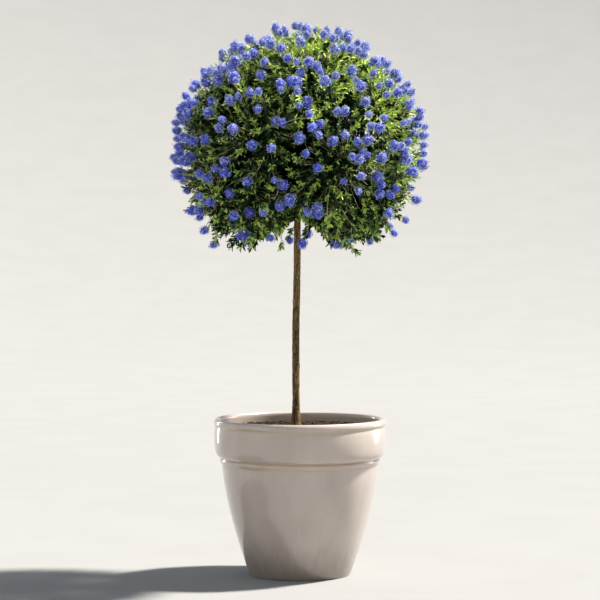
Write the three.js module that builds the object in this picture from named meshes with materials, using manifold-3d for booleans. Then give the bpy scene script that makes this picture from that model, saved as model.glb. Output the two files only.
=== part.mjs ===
// A California lilac grown as a standard: one slim clear trunk, a round clipped head full of blue
// blossom, and a glazed pot filled with compost. Millimetres, +Z up, origin under the middle of the pot.
import * as THREE from "three";
import { mergeVertices } from "three/addons/utils/BufferGeometryUtils.js";
import Module from "manifold-3d";

const wasm = await Module();
wasm.setup();

// Pot: a bowed body under a bead, a deep collar and a rolled lip
const POT_HEIGHT = 470;
const FOOT_RADIUS = 152;
const BODY_TOP_RADIUS = 236;
const BODY_TOP = 342;
const BEAD_FOOT = 334;
const BODY_BOW = 1.5;
const BODY_STEPS = 7;
const FOOT_CHAMFER = 4;
const WALL = 17;
const FLOOR = 22;
const FLOOR_ROUNDING = 8;
const HOLLOW_STEPS = 3;
const COLLAR_HOLLOW = 385;
const LIP_INNER_RADIUS = 241;
const LIP_INNER_TOP = 462;
const POT_SEGMENTS = 32;
const DRAIN_HOLES = 3;
const DRAIN_RADIUS = 12;
const DRAIN_CIRCLE = 72;
const DRAIN_SIDES = 14;

// Compost: lies 30 mm under the lip and rises a little to the trunk
const SOIL_TOP = 440;
const SOIL_MOUND = 6;
const SOIL_MOUND_RADIUS = 44;
const CLEARANCE = 0.3;

// Trunk: 21 mm thick as far as the boughs, and thinner among them. It is flared at the compost, stands
// off the middle of the pot and leans back to it
const TRUNK_TIP = 1215;
const TRUNK_RADIUS = 10.6;
const TRUNK_TIP_RADIUS = 8.8;
const TRUNK_TAPER = 3;
const FLARE = 9;
const FLARE_HEIGHT = 20;
const TRUNK_OFFSET = -12;
const TRUNK_TIP_OFFSET = -6.5;
const TRUNK_SWAY = 1.2;
const TRUNK_BENDS = [
  [0, 0],
  [0.08, 0],
  [0.35, TRUNK_SWAY],
  [0.65, -TRUNK_SWAY],
  [0.85, 0],
  [1, 0],
];
const TRUNK_SIDES = 10;
const TRUNK_STEPS = 14;
const TRUNK_RING_SPREAD = 1.6;

// Head: a ball cut off flat below, as seen from its middle
const HEAD_MIDDLE = new THREE.Vector3(0, 0, 1266);
const HEAD_RADIUS = 412;
const HEAD_UNDERSIDE = 279;
const UNDERSIDE_SHARPNESS = 10;

// Masses of foliage, each in a cell of its own with its apex in the middle of the head
const MASSES = 14;
const LOWEST_MASS = -0.62;
const GOLDEN_ANGLE = Math.PI * (3 - Math.sqrt(5));
const CELL_GAP = 3;

// Boughs leave the trunk one above the other and end where they enter a mass
const HIGHEST_BOUGH = 13;
const BOUGH_SPACING = 10.5;
const BOUGH_STRAIGHT = 0.5;
const BOUGH_RADIUS = 5.8;
const BOUGH_END_RADIUS = 4;
const BOUGH_RISE = THREE.MathUtils.degToRad(60);
const BOUGH_SIDES = 6;
const BOUGH_STEPS = 3;
const HUB_RADIUS = 105;
const HUB_DEEPER = 105;

// Stems and twigs inside the masses
const STEM_END_RADIUS = 2.4;
const STEM_REACH = 0.8;
const STEM_STRAIGHT = 0.35;
const STEM_SIDES = 5;
const STEM_STEPS = 3;
const TWIGS = 97;
const LOWEST_TWIG = -0.93;
const TWIG_REACH = [0.93, 1];
const HANGING_BELOW = -0.55;
const HANGING_REACH = [0.93, 1.1];
const TWIG_ROOTS = [0.25, 0.95];
const TWIG_RADIUS = 2.7;
const TWIG_END_RADIUS = 1.7;
const TWIG_SIDES = 3;
const TWIG_CELL_MARGIN = 25;
const CELL_PASSES = 4;
const TRUNK_MARGIN = 40;
const LIMB_MARGIN = 5;
const TWIG_SEED = 2024;
const TRUNK_TEST_POINTS = 90;
const BOUGH_TEST_POINTS = 24;

// Dense inside of the head, parted into the cores of the masses
const CORE_REACH = 0.9;
const CORE_DETAIL = 4;
const CORE_ROUGHNESS = 0.2;
const CORE_SEED = 5;
const GROOVE_DEPTH = 45;
const GROOVE_WIDTH = 26;
const HUB_DETAIL = 1;
const HUB_MARGIN = 16;

// Leaves and blossom, larger than life because they are fewer
const LEAF_LENGTH = 64;
const LEAF_SLIMNESS = 0.5;
const LEAF_THICKNESS = 3.4;
const LEAVES_ON_TWIG = 3;
const LEAF_FROM_TIP = 44;
const LEAF_SPREAD = 30;
const LEAF_LEAN = [0.75, 1.15];
const LEAF_TILT = [-0.3, 0.3];
const LEAF_SIZES = [0.85, 1.15];
const LEAF_SEED = 83;
const SEED_STEP = 1000;
const BLOSSOM_LENGTH = 56;
const BLOSSOM_WIDTH = 48;
const BARE_TWIG_EVERY = 6;
const TWIG_SHORT_OF_TIP = 30;

const UP = new THREE.Vector3(0, 0, 1);
const SIDEWAYS = new THREE.Vector3(1, 0, 0);
const NEARLY_ZERO = 0.1;
const NEARLY_UPRIGHT = 0.9;
const MERGE_DISTANCE = 1e-3;

const material = (name, color, roughness) =>
  new THREE.MeshStandardMaterial({ name, color, roughness, metalness: 0 });
const glaze = material("glaze", 0xb3a99f, 0.18);
const compost = material("compost", 0x3a2a1e, 0.95);
const bark = material("bark", 0x6b5338, 0.85);
const foliage = material("foliage", 0x3f6b24, 0.6);

// Seeded random numbers between two bounds
function randomStream(seed) {
  let state = seed;
  return (low, high) => {
    state = (state * 1664525 + 1013904223) % 4294967296;
    return low + ((high - low) * state) / 4294967296;
  };
}

// Closed solids from three.js geometries, and back
function merged(geometry) {
  const bare = geometry.index ? geometry.toNonIndexed() : geometry.clone();
  bare.deleteAttribute("normal");
  bare.deleteAttribute("uv");
  return mergeVertices(bare, MERGE_DISTANCE);
}

function solidOf(geometry) {
  const { attributes, index } = merged(geometry);
  return new wasm.Manifold(
    new wasm.Mesh({
      numProp: 3,
      vertProperties: attributes.position.array,
      triVerts: new Uint32Array(index.array),
    }),
  );
}

function geometryOf(solid) {
  const mesh = solid.getMesh();
  return new THREE.BufferGeometry()
    .setAttribute("position", new THREE.BufferAttribute(mesh.vertProperties, 3))
    .setIndex(new THREE.BufferAttribute(mesh.triVerts, 1));
}

// Leaves out loose scraps and fills sealed hollows, also those that merging close corners brings
function largestBody(solid) {
  const largest = (whole) =>
    whole.decompose().reduce((a, b) => (b.volume() > a.volume() ? b : a));
  return largest(solidOf(geometryOf(largest(solid))));
}

// A limb is a closed tapering tube with a ring of corners at each share of its curve's length
const evenShares = (steps) => Array.from({ length: steps + 1 }, (_, i) => i / steps);

function limb(curve, radiusAt, sides, shares) {
  const chord = curve.getPointAt(1).sub(curve.getPointAt(0)).normalize();
  const reference = Math.abs(chord.z) < NEARLY_UPRIGHT ? UP : SIDEWAYS;
  const positions = [];
  const index = [];
  for (const share of shares) {
    const tangent = curve.getTangentAt(share);
    const across = new THREE.Vector3().crossVectors(reference, tangent).normalize();
    const around = new THREE.Vector3().crossVectors(tangent, across);
    for (let k = 0; k < sides; k++) {
      const angle = (k / sides) * 2 * Math.PI;
      const corner = curve
        .getPointAt(share)
        .addScaledVector(across, radiusAt(share) * Math.cos(angle))
        .addScaledVector(around, radiusAt(share) * Math.sin(angle));
      positions.push(...corner);
    }
  }
  const last = (shares.length - 1) * sides;
  for (let ring = 0; ring < last; ring += sides) {
    for (let k = 0; k < sides; k++) {
      const a = ring + k;
      const b = ring + ((k + 1) % sides);
      index.push(a, b, b + sides, a, b + sides, a + sides);
    }
  }
  for (let k = 1; k < sides - 1; k++) {
    index.push(0, k + 1, k);
    index.push(last, last + k, last + k + 1);
  }
  return new THREE.BufferGeometry()
    .setAttribute("position", new THREE.Float32BufferAttribute(positions, 3))
    .setIndex(index);
}

const taper = (from, to) => (u) => THREE.MathUtils.lerp(from, to, u);

// Pot and compost are turned from one profile
function bodyRadius(height) {
  const share = height / BODY_TOP;
  return FOOT_RADIUS + (BODY_TOP_RADIUS - FOOT_RADIUS) * (1 - (1 - share) ** BODY_BOW);
}

function turned(profile) {
  const points = profile.map(([radius, height]) => new THREE.Vector2(radius, height));
  return new THREE.LatheGeometry(points, POT_SEGMENTS).rotateX(Math.PI / 2);
}

function outerProfile() {
  const points = [
    [0, 0],
    [FOOT_RADIUS - FOOT_CHAMFER, 0],
  ];
  for (let i = 0; i <= BODY_STEPS; i++) {
    const height = FOOT_CHAMFER + ((BEAD_FOOT - FOOT_CHAMFER) * i) / BODY_STEPS;
    points.push([bodyRadius(height), height]);
  }
  const bead = [
    [238.5, 337],
    [241, 342],
    [241, 348],
    [239, 352.5],
  ];
  const collar = [
    [245.5, 356],
    [251.5, 363],
    [255, 375],
    [258, 405],
    [257.5, 432],
    [255.8, 446.5],
  ];
  const lip = [
    [258.2, 451],
    [259.5, 457.5],
    [257.5, 465.5],
    [252, POT_HEIGHT],
    [245, 468.5],
  ];
  return [...points, ...bead, ...collar, ...lip];
}

// Heights and radii of the hollow, from its floor up to the lip, drawn in by a clearance
function hollowProfile(drawnIn) {
  const points = [
    [0, FLOOR + drawnIn],
    [bodyRadius(FLOOR) - WALL - FLOOR_ROUNDING - drawnIn, FLOOR + drawnIn],
  ];
  for (let i = 1; i <= HOLLOW_STEPS; i++) {
    const height = FLOOR + ((BODY_TOP - FLOOR) * i) / HOLLOW_STEPS;
    points.push([bodyRadius(height) - WALL - drawnIn, height + drawnIn]);
  }
  points.push([LIP_INNER_RADIUS - drawnIn, COLLAR_HOLLOW]);
  return points;
}

function potSolid() {
  const profile = [
    ...outerProfile(),
    [LIP_INNER_RADIUS, LIP_INNER_TOP],
    ...hollowProfile(0).reverse(),
  ];
  let solid = solidOf(turned(profile));
  for (let k = 0; k < DRAIN_HOLES; k++) {
    const angle = ((k + 0.5) / DRAIN_HOLES) * 2 * Math.PI;
    const hole = new THREE.CylinderGeometry(DRAIN_RADIUS, DRAIN_RADIUS, 4 * FLOOR, DRAIN_SIDES)
      .rotateX(Math.PI / 2)
      .translate(DRAIN_CIRCLE * Math.cos(angle), DRAIN_CIRCLE * Math.sin(angle), 0);
    solid = solid.subtract(solidOf(hole));
  }
  return solid;
}

function compostSolid() {
  const surface = [
    [LIP_INNER_RADIUS - CLEARANCE, SOIL_TOP],
    [SOIL_MOUND_RADIUS * 3, SOIL_TOP + SOIL_MOUND / 3],
    [SOIL_MOUND_RADIUS, SOIL_TOP + SOIL_MOUND],
    [0, SOIL_TOP + SOIL_MOUND],
  ];
  return solidOf(turned([...hollowProfile(CLEARANCE), ...surface]));
}

// Trunk
const TRUNK_FOOT = SOIL_TOP + SOIL_MOUND + CLEARANCE;
const TRUNK_HEIGHT = TRUNK_TIP - TRUNK_FOOT;

// A point of the trunk at a share of its height, swayed aside
function trunkPoint(share, sway) {
  const x = THREE.MathUtils.lerp(TRUNK_OFFSET, TRUNK_TIP_OFFSET, share ** 2);
  return new THREE.Vector3(x - sway, sway, TRUNK_FOOT + share * TRUNK_HEIGHT);
}

const trunkCurve = new THREE.CatmullRomCurve3(
  TRUNK_BENDS.map(([share, sway]) => trunkPoint(share, sway)),
);

function trunkRadius(share) {
  const flare = FLARE * Math.exp((-share * TRUNK_HEIGHT) / FLARE_HEIGHT);
  return THREE.MathUtils.lerp(TRUNK_RADIUS, TRUNK_TIP_RADIUS, share ** TRUNK_TAPER) + flare;
}

// Rings stand closer together at the flare than above it
function trunkGeometry(grown) {
  const shares = evenShares(TRUNK_STEPS).map((share) => share ** TRUNK_RING_SPREAD);
  return limb(trunkCurve, (share) => trunkRadius(share) + grown, TRUNK_SIDES, shares);
}

// The head's outline: how far it reaches from its middle in a direction
function headReach(direction) {
  const down = Math.max(0, -direction.z);
  const power = UNDERSIDE_SHARPNESS;
  return (HEAD_RADIUS ** -power + (down / HEAD_UNDERSIDE) ** power) ** (-1 / power);
}

// The hub's outline, deeper where the trunk comes in
const hubReach = (direction) => HUB_RADIUS + HUB_DEEPER * Math.max(0, -direction.z);

// The k-th of so many directions spread evenly from the top down to a lowest height
function spreadDirection(k, count, lowest) {
  const z = 1 - ((k + 0.5) / count) * (1 - lowest);
  const across = Math.sqrt(1 - z * z);
  const angle = k * GOLDEN_ANGLE;
  return new THREE.Vector3(across * Math.cos(angle), across * Math.sin(angle), z);
}

const headPoint = (direction, distance) =>
  HEAD_MIDDLE.clone().addScaledVector(direction, distance);

const massDirections = Array.from({ length: MASSES }, (_, i) =>
  spreadDirection(i, MASSES, LOWEST_MASS),
);

// Distances from a point to the sides of its mass's cell, as planes through the middle of the head
function cellRoom(point, own) {
  const from = point.clone().sub(HEAD_MIDDLE);
  let room = Infinity;
  let nearest = null;
  massDirections.forEach((other, j) => {
    if (j === own) return;
    const across = massDirections[own].clone().sub(other).normalize();
    const distance = from.dot(across);
    if (distance < room) {
      room = distance;
      nearest = across;
    }
  });
  return { room, nearest };
}

const ownerOf = (direction) =>
  massDirections.reduce(
    (best, d, i) => (d.dot(direction) > massDirections[best].dot(direction) ? i : best),
    0,
  );

// Boughs: one for each mass
function boughCurve(i) {
  const direction = massDirections[i];
  const below = i === 0 ? 0 : HIGHEST_BOUGH + i * BOUGH_SPACING;
  const start = trunkCurve.getPointAt(1 - below / TRUNK_HEIGHT);
  if (i === 0) start.z += CLEARANCE;
  const end = headPoint(direction, hubReach(direction));
  const outward = new THREE.Vector3(direction.x, direction.y, 0).normalize();
  const rise = i === 0 ? Math.PI / 2 : BOUGH_RISE;
  const towards = outward
    .multiplyScalar(Math.cos(rise))
    .addScaledVector(UP, Math.sin(rise))
    .multiplyScalar(BOUGH_STRAIGHT * start.distanceTo(end))
    .add(start);
  return new THREE.QuadraticBezierCurve3(start, towards, end);
}

const boughCurves = massDirections.map((_, i) => boughCurve(i));

function boughGeometry(i, grown) {
  const radiusAt = taper(BOUGH_RADIUS + grown, BOUGH_END_RADIUS + grown);
  return limb(boughCurves[i], radiusAt, BOUGH_SIDES, evenShares(BOUGH_STEPS));
}

const trunkSolid = solidOf(trunkGeometry(0));
const trunkRoom = solidOf(trunkGeometry(CLEARANCE));

const boughSolids = boughCurves.map((_, i) => {
  const whole = solidOf(boughGeometry(i, 0));
  return i === 0 ? whole : largestBody(whole.subtract(trunkRoom));
});

// The stem of a mass goes on from its bough's tip
function stemCurve(i) {
  const bough = boughCurves[i];
  const onward = bough.getTangentAt(1);
  const start = bough.getPointAt(1).addScaledVector(onward, CLEARANCE);
  const direction = massDirections[i];
  const end = headPoint(direction, STEM_REACH * headReach(direction));
  const towards = start.clone().addScaledVector(onward, STEM_STRAIGHT * start.distanceTo(end));
  return new THREE.QuadraticBezierCurve3(start, towards, end);
}

const stemCurves = massDirections.map((_, i) => stemCurve(i));

// Every twig ends at one of the points spread over the outline, drawn into its mass's cell
function twigEnds() {
  const random = randomStream(TWIG_SEED);
  const ends = massDirections.map(() => []);
  for (let k = 0; k < TWIGS; k++) {
    const direction = spreadDirection(k, TWIGS, LOWEST_TWIG);
    const share = random(...(direction.z < HANGING_BELOW ? HANGING_REACH : TWIG_REACH));
    const owner = ownerOf(direction);
    const tip = headPoint(direction, share * headReach(direction));
    for (let pass = 0; pass < CELL_PASSES; pass++) {
      const { room, nearest } = cellRoom(tip, owner);
      const short = TWIG_CELL_MARGIN - room;
      if (short > 0) tip.addScaledVector(nearest, short);
    }
    const start = random(...TWIG_ROOTS);
    if (Math.hypot(tip.x, tip.y) > TRUNK_MARGIN) ends[owner].push({ k, tip, start });
  }
  return ends;
}

// A twig runs straight from its stem into its blossom
function twigCurve(i, { tip, start }) {
  const radial = tip.clone().sub(HEAD_MIDDLE).normalize();
  const end = tip.clone().addScaledVector(radial, -TWIG_SHORT_OF_TIP);
  return { curve: new THREE.LineCurve3(stemCurves[i].getPointAt(start), end), radial };
}

// What a mass holds stays in its cell and off the limbs
const limbPoints = [
  ...trunkCurve.getSpacedPoints(TRUNK_TEST_POINTS).map((point) => [point, TRUNK_RADIUS + LIMB_MARGIN]),
  ...boughCurves.flatMap((curve) =>
    curve.getSpacedPoints(BOUGH_TEST_POINTS).map((point) => [point, BOUGH_RADIUS + LIMB_MARGIN]),
  ),
];

const hasRoom = (points, own) =>
  points.every(
    (point) =>
      cellRoom(point, own).room > CELL_GAP / 2 &&
      limbPoints.every(([centre, reach]) => centre.distanceTo(point) > reach),
  );

function vertices(geometry) {
  const position = geometry.attributes.position;
  const found = [];
  for (let i = 0; i < position.count; i++) {
    found.push(new THREE.Vector3().fromBufferAttribute(position, i));
  }
  return found;
}

// The dense inside of the head: a rough ball, grooved where two masses meet
function headCore() {
  const random = randomStream(CORE_SEED);
  const geometry = merged(new THREE.IcosahedronGeometry(1, CORE_DETAIL));
  const position = geometry.attributes.position;
  for (let k = 0; k < position.count; k++) {
    const direction = new THREE.Vector3().fromBufferAttribute(position, k).normalize();
    const reach = CORE_REACH * headReach(direction) * random(1 - CORE_ROUGHNESS, 1);
    const { room } = cellRoom(headPoint(direction, reach), ownerOf(direction));
    const groove = GROOVE_DEPTH * Math.exp(-room / GROOVE_WIDTH);
    position.setXYZ(k, ...headPoint(direction, reach - groove));
  }
  return solidOf(geometry);
}

// The hub: the bare space round the boughs, which end just inside its surface
function hub() {
  const geometry = merged(new THREE.IcosahedronGeometry(1, HUB_DETAIL));
  const position = geometry.attributes.position;
  for (let k = 0; k < position.count; k++) {
    const direction = new THREE.Vector3().fromBufferAttribute(position, k).normalize();
    position.setXYZ(k, ...headPoint(direction, hubReach(direction) + HUB_MARGIN));
  }
  return solidOf(geometry);
}

const openCore = headCore().subtract(hub()).subtract(solidOf(trunkGeometry(LIMB_MARGIN)));

// The core of one mass, cut out along the planes that part it from the others
function massCore(i) {
  let solid = openCore;
  massDirections.forEach((other, j) => {
    if (j === i) return;
    const across = massDirections[i].clone().sub(other).normalize();
    solid = solid.trimByPlane([...across], HEAD_MIDDLE.dot(across) + CELL_GAP);
  });
  return largestBody(solid);
}

// A leaf is a thin pointed blade with its root sunk in the twig
function leafGeometry(root, along, normal, length) {
  const side = new THREE.Vector3().crossVectors(normal, along).normalize();
  const flat = new THREE.Vector3().crossVectors(along, side).normalize();
  const middle = root.clone().addScaledVector(along, length / 2);
  const basis = new THREE.Matrix4().makeBasis(along, side, flat).setPosition(middle);
  return new THREE.OctahedronGeometry(1, 0)
    .scale(length / 2, (length * LEAF_SLIMNESS) / 2, LEAF_THICKNESS / 2)
    .applyMatrix4(basis);
}

function leavesOn(curve, random) {
  const leaves = [];
  for (let n = 0; n < LEAVES_ON_TWIG; n++) {
    const fromEnd = LEAF_FROM_TIP - TWIG_SHORT_OF_TIP + (LEAF_SPREAD * n) / LEAVES_ON_TWIG;
    const share = Math.max(0, 1 - fromEnd / curve.getLength());
    const root = curve.getPointAt(share);
    const forward = curve.getTangentAt(share);
    const turn = n * GOLDEN_ANGLE + random(0, 2 * Math.PI);
    const across = new THREE.Vector3().crossVectors(forward, UP);
    if (across.length() < NEARLY_ZERO) across.copy(SIDEWAYS);
    across.normalize().applyAxisAngle(forward, turn);
    const lean = random(...LEAF_LEAN);
    const along = forward
      .clone()
      .multiplyScalar(Math.cos(lean))
      .addScaledVector(across, Math.sin(lean))
      .normalize();
    const normal = forward.clone().addScaledVector(across, random(...LEAF_TILT)).normalize();
    leaves.push(leafGeometry(root, along, normal, LEAF_LENGTH * random(...LEAF_SIZES)));
  }
  return leaves;
}

function blossomGeometry(tip, radial, random) {
  const middle = tip.clone().addScaledVector(radial, -BLOSSOM_LENGTH / 2);
  const turn = new THREE.Quaternion().setFromUnitVectors(UP, radial);
  return new THREE.IcosahedronGeometry(1, 0)
    .rotateZ(random(0, Math.PI))
    .scale(BLOSSOM_WIDTH / 2, BLOSSOM_WIDTH / 2, BLOSSOM_LENGTH / 2)
    .applyQuaternion(turn)
    .translate(...middle);
}

function massSolid(i, ends) {
  const random = randomStream(LEAF_SEED + SEED_STEP * i);
  const stem = limb(
    stemCurves[i],
    taper(BOUGH_END_RADIUS, STEM_END_RADIUS),
    STEM_SIDES,
    evenShares(STEM_STEPS),
  );
  const pieces = [solidOf(stem), massCore(i)];
  for (const end of ends) {
    const { curve, radial } = twigCurve(i, end);
    const twig = limb(curve, taper(TWIG_RADIUS, TWIG_END_RADIUS), TWIG_SIDES, [0, 1]);
    if (!hasRoom(vertices(twig), i)) continue;
    pieces.push(solidOf(twig));
    const grown = leavesOn(curve, random);
    if (end.k % BARE_TWIG_EVERY) grown.push(blossomGeometry(end.tip, radial, random));
    for (const geometry of grown) {
      if (hasRoom(vertices(geometry), i)) pieces.push(solidOf(geometry));
    }
  }
  return largestBody(wasm.Manifold.union(pieces));
}

const plant = new THREE.Group();

function add(name, solid, look) {
  const mesh = new THREE.Mesh(geometryOf(solid), look);
  mesh.name = name;
  plant.add(mesh);
}

const numbered = (word, i) => `${word}_${String(i + 1).padStart(2, "0")}`;

add("pot", potSolid(), glaze);
add("compost", compostSolid(), compost);
add("trunk", trunkSolid, bark);
boughSolids.forEach((solid, i) => add(numbered("bough", i), solid, bark));
twigEnds().forEach((ends, i) => add(numbered("foliage", i), massSolid(i, ends), foliage));

export default plant;
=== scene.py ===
import math

import bpy
import numpy as np
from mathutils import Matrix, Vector


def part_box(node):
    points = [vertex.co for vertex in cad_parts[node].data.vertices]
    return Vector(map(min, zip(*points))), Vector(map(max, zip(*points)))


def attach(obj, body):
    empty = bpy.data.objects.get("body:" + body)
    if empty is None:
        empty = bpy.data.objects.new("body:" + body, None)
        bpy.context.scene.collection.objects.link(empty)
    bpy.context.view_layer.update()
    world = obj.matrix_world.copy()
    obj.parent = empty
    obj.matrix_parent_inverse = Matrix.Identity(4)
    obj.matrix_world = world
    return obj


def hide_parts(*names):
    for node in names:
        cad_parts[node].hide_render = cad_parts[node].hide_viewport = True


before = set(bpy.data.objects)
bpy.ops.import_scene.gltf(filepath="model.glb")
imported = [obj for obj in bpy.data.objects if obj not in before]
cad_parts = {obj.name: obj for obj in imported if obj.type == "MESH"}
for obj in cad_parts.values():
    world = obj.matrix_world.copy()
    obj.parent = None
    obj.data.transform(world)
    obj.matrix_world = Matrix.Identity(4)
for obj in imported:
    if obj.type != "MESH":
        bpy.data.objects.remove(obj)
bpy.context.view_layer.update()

MM = 0.001
UP = np.array([0.0, 0.0, 1.0])
SIDEWAYS = np.array([1.0, 0.0, 0.0])
NEARLY_UPRIGHT = 0.9
GOLDEN_ANGLE = math.pi * (3 - math.sqrt(5))
RANDOM_FACTOR = 1664525
RANDOM_STEP = 1013904223
RANDOM_RANGE = 2**32
MOTTLED = (0.38, 0.62)

# Pot: a bowed body under a bead, a deep collar and a rolled lip
POT_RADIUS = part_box("pot")[1].x
POT_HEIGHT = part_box("pot")[1].z
FOOT_RADIUS = 152 * MM
BODY_TOP_RADIUS = 236 * MM
BODY_TOP = 342 * MM
BEAD_FOOT = 334 * MM
BODY_BOW = 1.5
BODY_STEPS = 7
FOOT_CHAMFER = 4 * MM
WALL = 17 * MM
FLOOR = 22 * MM
FLOOR_ROUNDING = 8 * MM
HOLLOW_STEPS = 6
LIP_INNER_RADIUS = 241 * MM
LIP_INNER_TOP = 462 * MM
COLLAR_HOLLOW = 385 * MM
COLLAR_FOOT = 353 * MM
LIP_FOOT = 447 * MM
POT_SEGMENTS = 160
PROFILE_FINENESS = 5
GLAZE_WAVE_HEIGHT = 0.35 * MM
GLAZE_WAVES = ((3, 9), (5, -14))
# The glaze darkens from this height down to the foot, raggedly: a painted reflection of dark ground
PAINTED_REFLECTION_TOP = 165 * MM
PAINTED_REFLECTION_FOOT = 25 * MM
PAINTED_REFLECTION_RAGGED = 60 * MM
DRAIN_HOLES = 3
DRAIN_RADIUS = 12 * MM
DRAIN_CIRCLE = 72 * MM
DRAIN_SIDES = 32
SHARP_ANGLE = math.radians(50)

# Compost: a loose crumbly surface
SOIL_TOP = 440 * MM
SOIL_MOUND = 6 * MM
SOIL_MOUND_RADIUS = 70 * MM
SOIL_DEPTH = 60 * MM
SOIL_ROUGHNESS = 2.2 * MM
SOIL_RINGS = 60
SOIL_SEGMENTS = 150
SOIL_MIDDLE = 4 * MM
SOIL_CLOSING = 0.01
CRUMBS = 2600
CRUMBS_SPREAD = 0.96
CRUMB_SIZES = (2.2 * MM, 6.5 * MM)
CRUMB_SLIMNESS = (0.45, 1.2)
CRUMB_DENTS = 0.35
CRUMB_SEED = 31

# Trunk: flared at the compost, off the middle of the pot and leaning back to it
TRUNK_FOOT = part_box("trunk")[0].z
TRUNK_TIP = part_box("trunk")[1].z
TRUNK_HEIGHT = TRUNK_TIP - TRUNK_FOOT
TRUNK_RADIUS = 10.6 * MM
TRUNK_TIP_RADIUS = 8.8 * MM
TRUNK_TAPER = 3
FLARE = 9 * MM
FLARE_HEIGHT = 20 * MM
TRUNK_OFFSET = -12 * MM
TRUNK_TIP_OFFSET = -6.5 * MM
TRUNK_SWAY = 1.2 * MM
TRUNK_BENDS = [(0, 0), (0.08, 0), (0.35, TRUNK_SWAY), (0.65, -TRUNK_SWAY), (0.85, 0), (1, 0)]
TRUNK_SIDES = 44
TRUNK_RINGS = 420
TRUNK_SUNK = 6 * MM

# Bark: furrows run up the limb, with low knobs where shoots were cut off
FURROW_DEPTH = 1.3 * MM
FURROW_LENGTH = 34 * MM
FEWEST_FURROWS = 3
FURROWS_AROUND = 11
FURROW_NARROWNESS = 2.2
PLATES_STAND_OUT = 0.45
PLATES_SHARE = 0.6
CRACKS_SHARE = 0.4
CRACKS_WANDER = 0.3
CRACK_FINENESS = (2, 3)
GRAIN_FINENESS = (3, 14)
BARK_GRAIN_DEPTH = 0.45 * MM
BARK_END = 0.999
KNOBS = 12
KNOB_PLACES = (0.03, 0.97)
KNOB_HEIGHT = (0.8 * MM, 2.2 * MM)
KNOB_SIZE = (5 * MM, 9 * MM)
WARM_BARK = (860 * MM, 1080 * MM)
COOL_BARK = (1180 * MM, 1090 * MM)
BARK_SEED = 17

# Head: a ball cut off flat below, as seen from its middle
HEAD_MIDDLE = np.array([0.0, 0.0, 1266 * MM])
HEAD_RADIUS = 412 * MM
HEAD_UNDERSIDE = 279 * MM
UNDERSIDE_SHARPNESS = 10
HUB_RADIUS = 105 * MM
HUB_DEEPER = 105 * MM

# Masses, boughs and stems, as the solids have them
MASSES = 14
LOWEST_MASS = -0.62
HIGHEST_BOUGH = 13 * MM
BOUGH_SPACING = 10.5 * MM
BOUGH_STRAIGHT = 0.5
BOUGH_RADIUS = 5.8 * MM
BOUGH_END_RADIUS = 4 * MM
BOUGH_RISE = math.radians(60)
BOUGH_SIDES = 14
BOUGH_RINGS = 44
BOUGH_FURROWS_AROUND = 5
BOUGH_FURROW_DEPTH = FURROW_DEPTH / 3
BOUGHS = [f"bough_{i + 1:02d}" for i in range(MASSES)]
FOLIAGE = [f"foliage_{i + 1:02d}" for i in range(MASSES)]
STEM_REACH = 0.8
STEM_STRAIGHT = 0.35
STEM_END_RADIUS = 2 * MM
CLEARANCE = 0.3 * MM
LENGTH_STEPS = 200

# Main twigs, as the solids have them
TWIGS = 97
LOWEST_TWIG = -0.93
TWIG_REACH = (0.93, 1)
HANGING_BELOW = -0.55
HANGING_REACH = (0.93, 1.1)
TWIG_ROOTS = (0.25, 0.95)
TWIG_CELL_MARGIN = 25 * MM
CELL_PASSES = 4
TRUNK_MARGIN = 40 * MM
TWIG_SHORT_OF_TIP = 30 * MM
TWIG_SEED = 2024
TWIG_RADIUS = 1.6 * MM
TWIG_END_RADIUS = 0.9 * MM
TWIG_RINGS = 9
TWIG_SIDES = 7
TWIG_BOW = 0.07
BARE_TWIG_EVERY = 6

# Shoots: finer twigs that go on from the main ones
SHOOTS = 2300
LOWEST_SHOOT = -0.965
SHOOT_REACH = (0.74, 0.89)
BLOOMING_REACH = (0.87, 0.965)
HANGING_SHOOT_REACH = (0.7, 1.12)
FEW_HANG_FAR = 1.6
PROUDER_ABOVE = 0.025
FURTHEST_REACH = 0.962
FURTHEST_BARE_REACH = 0.93
ARCH_RISE = 100 * MM
ARCH_HALF_WIDTH = 85 * MM
NEARLY_LEVEL = 0.01
LONG_SHOOT_EVERY = 4
LONG_SHOOT_BACK = 90 * MM
LONG_SHOOT_THICKER = 1.25
SHOOT_SCATTER = 0.022
SHOOT_WANDER = 0.14
SHOOT_ONWARD = 0.3
SHOOT_INWARD = 0.42
SHOOT_BACK = (45 * MM, 130 * MM)
SHOOT_ROOTS = (0.12, 0.9)
SHOOT_RADIUS = 1.15 * MM
SHOOT_END_RADIUS = 0.75 * MM
SHOOT_STEPS = 5
SHOOT_SIDES = 3
SHOOT_LIFT = 0.3
SHOOT_SEED = 414

# Leaves: brightest at the tips of the shoots that get the most light, as painted light and shade; older
# leaves are a little darker of themselves
LEAF_LENGTH = 16.5 * MM
LOW_LEAF_LONGER = 0.25
HANGING_LEAF_LONGER = 1.3
LEAF_SLIMNESS = 0.32
HANGING_LEAF_BROADER = 1.35
LEAF_FOLD = 0.7
LEAF_DROOP = 0.1
LEAF_SIZES = (0.75, 1.2)
LEAVES_ON_SHOOT = 22
LEAVES_ON_LONG_SHOOT = 11
LEAF_FALL = 0.45
LEAF_SPACING = (3.1 * MM, 4.8 * MM)
LEAF_UNEVENNESS = 0.3
LEAVES_BELOW_BLOSSOM = (24 * MM, 34 * MM)
YOUNG_LEAVES = 4
YOUNG_LEAF_SIZE = 0.55
LEAF_LEAN = (0.3, 0.85)
LEAF_LEAN_SHARES = (0.4, 1)
LEAF_TOWARDS_LIGHT = 0.35
LEAF_FACING_SCATTER = 0.25
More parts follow.
